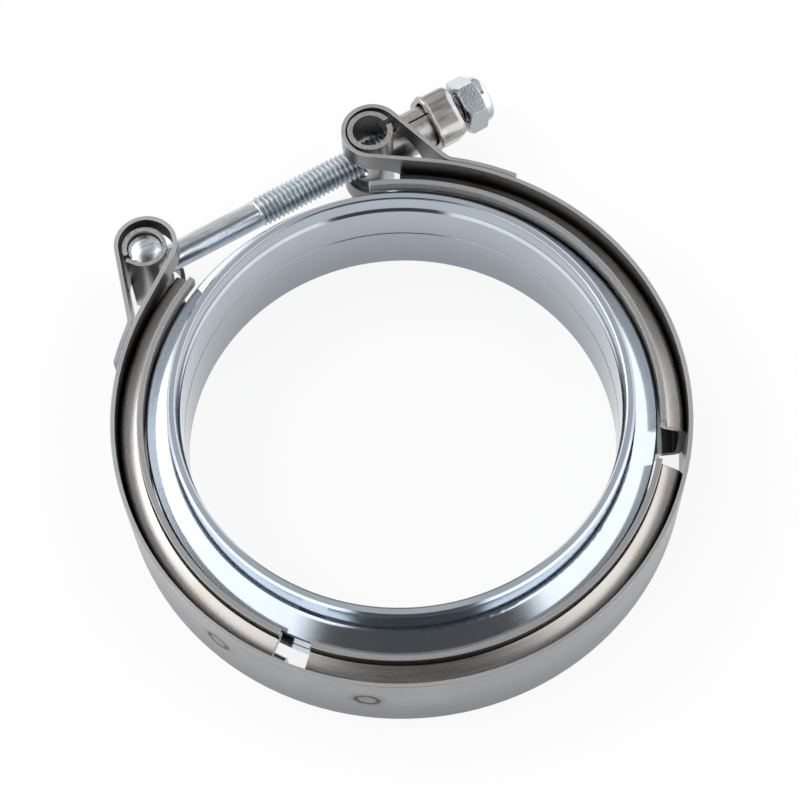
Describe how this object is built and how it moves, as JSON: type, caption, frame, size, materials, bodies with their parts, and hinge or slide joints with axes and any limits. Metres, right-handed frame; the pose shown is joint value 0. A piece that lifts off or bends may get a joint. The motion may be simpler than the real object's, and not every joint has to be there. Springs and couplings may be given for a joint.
{
  "type": "v band clamp",
  "caption": "Slackened V band clamp with T bolt, trunnion and lock nut, loosely holding a mating pair of turned weld flanges for an exhaust joint.",
  "frame": {"origin": "on the ring axis, level with the lower edge of the band and the back face of the lower flange", "axes": "+Z along the ring axis, upwards from the resting face; the tensioning bolt lies on the +Y side and points 28 degrees from +X towards +Y"},
  "size_m": [0.1056, 0.1282, 0.024],
  "materials": {
    "band_steel": "brushed",
    "retainer_steel": "rolled stainless with heat tint",
    "flange_steel": "turned and bright zinc plated",
    "plated_bolt": "bright zinc",
    "sleeve_steel": "satin",
    "plated_nut": "bright zinc",
    "nylon": "moulded nylon"
  },
  "bodies": {
    "clamp": {"outer_band": "band_steel", "v_retainer_right": "retainer_steel", "v_retainer_front": "retainer_steel", "v_retainer_left": "retainer_steel", "lower_flange": "flange_steel", "upper_flange": "flange_steel"},
    "bolt": {"t_bolt": "plated_bolt", "t_bolt_sleeve": "sleeve_steel"},
    "trunnion": {"trunnion": "sleeve_steel", "trunnion_collar": "plated_nut"},
    "nut": {"lock_nut": "plated_nut", "nylon_insert": "nylon"}
  },
  "joints": [
    {"name": "bolt_swivel", "type": "hinge", "parent": "clamp", "child": "bolt", "pos_m": [-0.04698, 0.03591, 0.00915], "axis": [0, 0, 1], "range_deg": [-0.4, 0.4]},
    {"name": "trunnion_swivel", "type": "hinge", "parent": "clamp", "child": "trunnion", "pos_m": [-0.0036, 0.05935, 0.00915], "axis": [0, 0, 1], "range_deg": [-0.4, 0.4]},
    {"name": "nut_turn", "type": "hinge", "parent": "bolt", "child": "nut", "pos_m": [0.01655, 0.07024, 0.00915], "axis": [0.8798, 0.4754, 0], "continuous": true}
  ],
  "couplings": [
    {"joint": "trunnion_swivel", "follows": "bolt_swivel", "ratio": 1}
  ]
}
